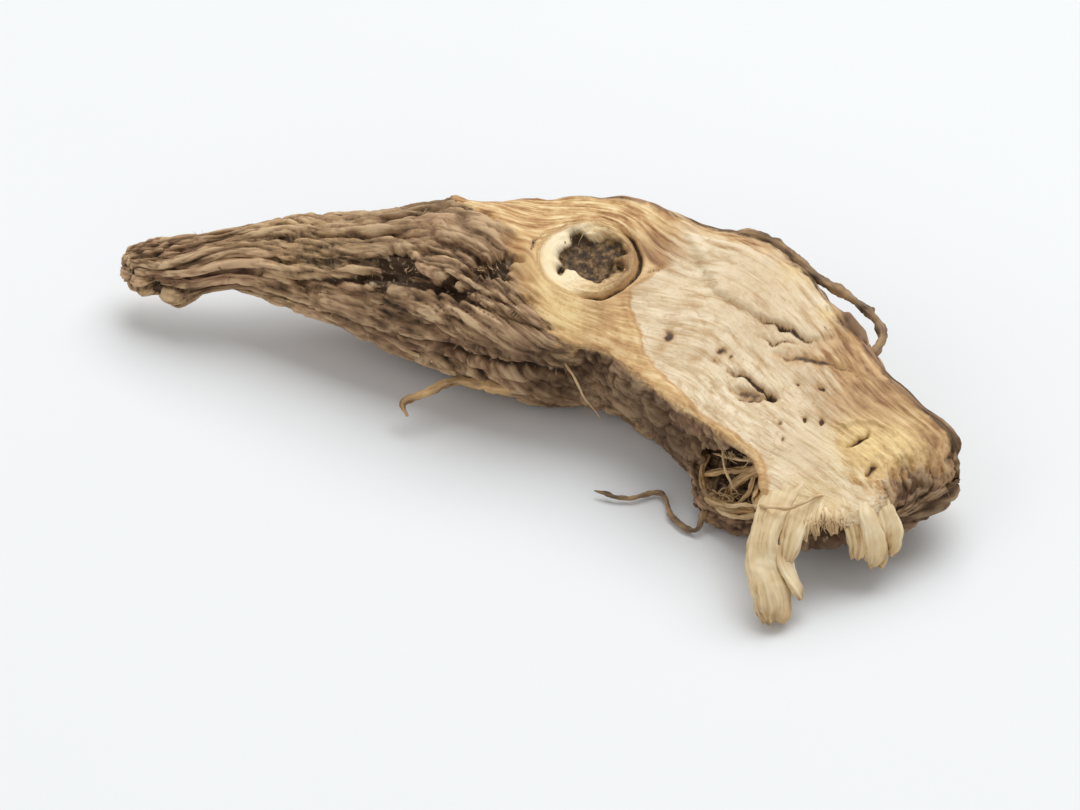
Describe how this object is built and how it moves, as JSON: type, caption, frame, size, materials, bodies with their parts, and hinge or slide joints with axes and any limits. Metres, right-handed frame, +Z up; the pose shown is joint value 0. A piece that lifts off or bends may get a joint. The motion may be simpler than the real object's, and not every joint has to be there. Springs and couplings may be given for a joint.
{
  "type": "dried burdock root",
  "caption": "Bent piece of dried burdock root, split lengthwise at its crown, with corded bark, a side root's scar, torn end strips and thin rootlets.",
  "frame": {"origin": "on the resting surface under the middle of the piece's box", "axes": "+Z up out of the split face, -X towards the tail's tip, -Y towards the torn end of the crown"},
  "size_m": [0.0549, 0.0342, 0.0108],
  "materials": {
    "dried_root": "dull, dry brown bark; the split face is pale cream wood"
  },
  "bodies": {
    "root": {"burdock_root": "dried_root"}
  },
  "joints": []
}
